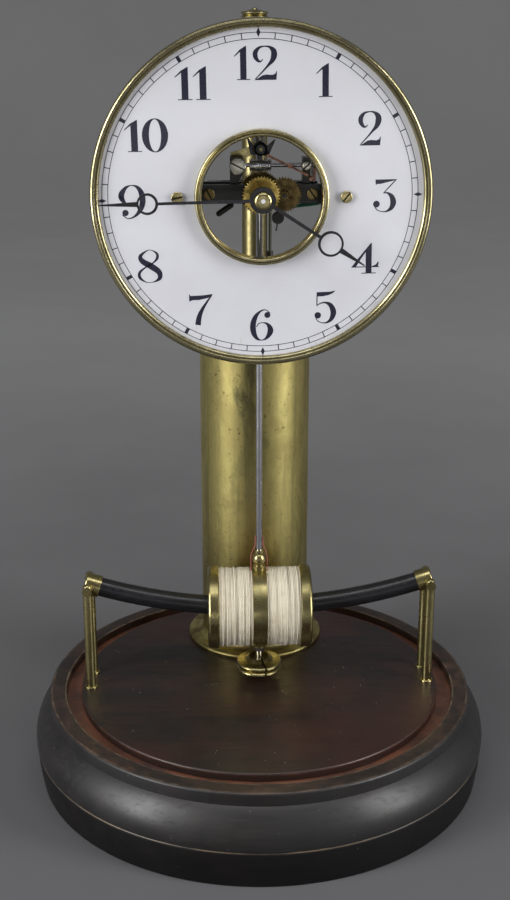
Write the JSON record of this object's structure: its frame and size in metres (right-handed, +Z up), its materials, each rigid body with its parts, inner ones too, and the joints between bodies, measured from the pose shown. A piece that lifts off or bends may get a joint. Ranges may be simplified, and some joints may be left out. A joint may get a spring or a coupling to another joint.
{
  "type": "electric clock",
  "caption": "Electromagnetic pendulum clock: round wooden base, brass battery column, open-centre dial, and a coil pendulum on a curved magnet.",
  "frame": {"origin": "centre of the base's underside", "axes": "+Z up, the dial faces -Y, +X to the right of the dial"},
  "size_m": [0.2318, 0.2318, 0.3743],
  "materials": {
    "baize": "woven green baize",
    "dark_wood": "stained and polished hardwood, nearly black",
    "red_wood": "stained hardwood, reddish brown, worn polish",
    "column_brass": "lacquered brass, aged and spotted",
    "brass": "turned brass, aged",
    "wheel_brass": "cut brass wheel",
    "dark_brass": "darkened brass wheel",
    "cardboard": "plain",
    "cell_paper": "paper sleeve round a dry cell",
    "magnet": "black lacquer on cobalt steel",
    "black_frame": "black lacquer",
    "nickel": "polished nickel",
    "enamel": "glossy white vitreous enamel with dark printing",
    "ebonite": "black ebonite",
    "green_silk": "silk covering",
    "steel": "polished steel",
    "cotton": "cotton-covered wire, wound in close turns",
    "black_steel": "blued steel, nearly black",
    "copper": "bare copper and brass"
  },
  "bodies": {
    "clock": {"base_baize": "baize", "base_plinth": "dark_wood", "base_moulding": "dark_wood", "dome_rim": "dark_wood", "base_disc": "red_wood", "column_foot": "column_brass", "column_tube": "column_brass", "column_cap": "column_brass", "battery_liner": "cardboard", "battery_cell": "cell_paper", "battery_terminal": "brass", "contact_spring": "brass", "upper_tube": "brass", "top_knob": "brass", "magnet_bar": "magnet", "magnet_end_caps": "brass", "magnet_posts": "brass", "magnet_screws": "brass", "frame_front_bar": "black_frame", "frame_rear_bar": "black_frame", "frame_yoke": "black_frame", "frame_screws": "brass", "pivot_screws": "nickel", "suspension_arm": "brass", "suspension_clamp": "brass", "suspension_screw": "steel", "fork_cock": "nickel", "retaining_click": "nickel", "dial_plate": "enamel", "dial_bezel": "brass", "dial_centre_ring": "brass", "dial_pillars": "brass", "dial_screws": "brass", "lead_terminal": "ebonite", "lead_sleeve": "ebonite", "green_lead": "green_silk"},
    "pendulum": {"suspension_spring": "steel", "suspension_chop": "brass", "pendulum_rod": "steel", "contact_pin": "nickel", "rod_ball": "brass", "coil_tube": "brass", "coil_cheeks": "brass", "coil_band": "brass", "winding_left": "cotton", "winding_right": "cotton", "rating_stem": "steel"},
    "rating_nut": {"rating_nut": "brass"},
    "fork": {"contact_fork": "black_steel", "fork_pawl": "copper"},
    "minute": {"centre_arbor": "steel", "worm_wheel": "dark_brass", "cannon_pinion": "steel", "minute_hand": "black_steel", "hand_nut": "brass"},
    "hour": {"hour_wheel": "wheel_brass", "hour_hand": "black_steel"},
    "minute_wheel": {"minute_wheel": "dark_brass"},
    "worm": {"worm_arbor": "steel", "ratchet_wheel": "nickel"}
  },
  "joints": [
    {"name": "pendulum_swing", "type": "hinge", "parent": "clock", "child": "pendulum", "pos_m": [0, 0.0025, 0.353], "axis": [0, 1, 0], "range_deg": [-6, 6]},
    {"name": "rating_nut_turn", "type": "hinge", "parent": "pendulum", "child": "rating_nut", "pos_m": [0, 0.0025, 0.0526], "axis": [0, 0, 1], "continuous": true},
    {"name": "fork_rock", "type": "hinge", "parent": "clock", "child": "fork", "pos_m": [0, -0.005, 0.3145], "axis": [0, 1, 0], "range_deg": [-1.6, 1.6]},
    {"name": "minute_turn", "type": "hinge", "parent": "clock", "child": "minute", "pos_m": [0, -0.02, 0.2949], "axis": [0, 1, 0], "continuous": true},
    {"name": "hour_turn", "type": "hinge", "parent": "clock", "child": "hour", "pos_m": [0, -0.02, 0.2949], "axis": [0, 1, 0], "continuous": true},
    {"name": "minute_wheel_turn", "type": "hinge", "parent": "clock", "child": "minute_wheel", "pos_m": [0.01029, -0.015, 0.2949], "axis": [0, 1, 0], "continuous": true},
    {"name": "worm_turn", "type": "hinge", "parent": "clock", "child": "worm", "pos_m": [0, -0.006, 0.3071], "axis": [1, 0, 0], "continuous": true}
  ],
  "couplings": [
    {"joint": "fork_rock", "follows": "pendulum_swing", "ratio": -0.25},
    {"joint": "hour_turn", "follows": "minute_turn", "ratio": 0.083333},
    {"joint": "minute_wheel_turn", "follows": "minute_turn", "ratio": -0.33333},
    {"joint": "worm_turn", "follows": "minute_turn", "ratio": -60}
  ]
}
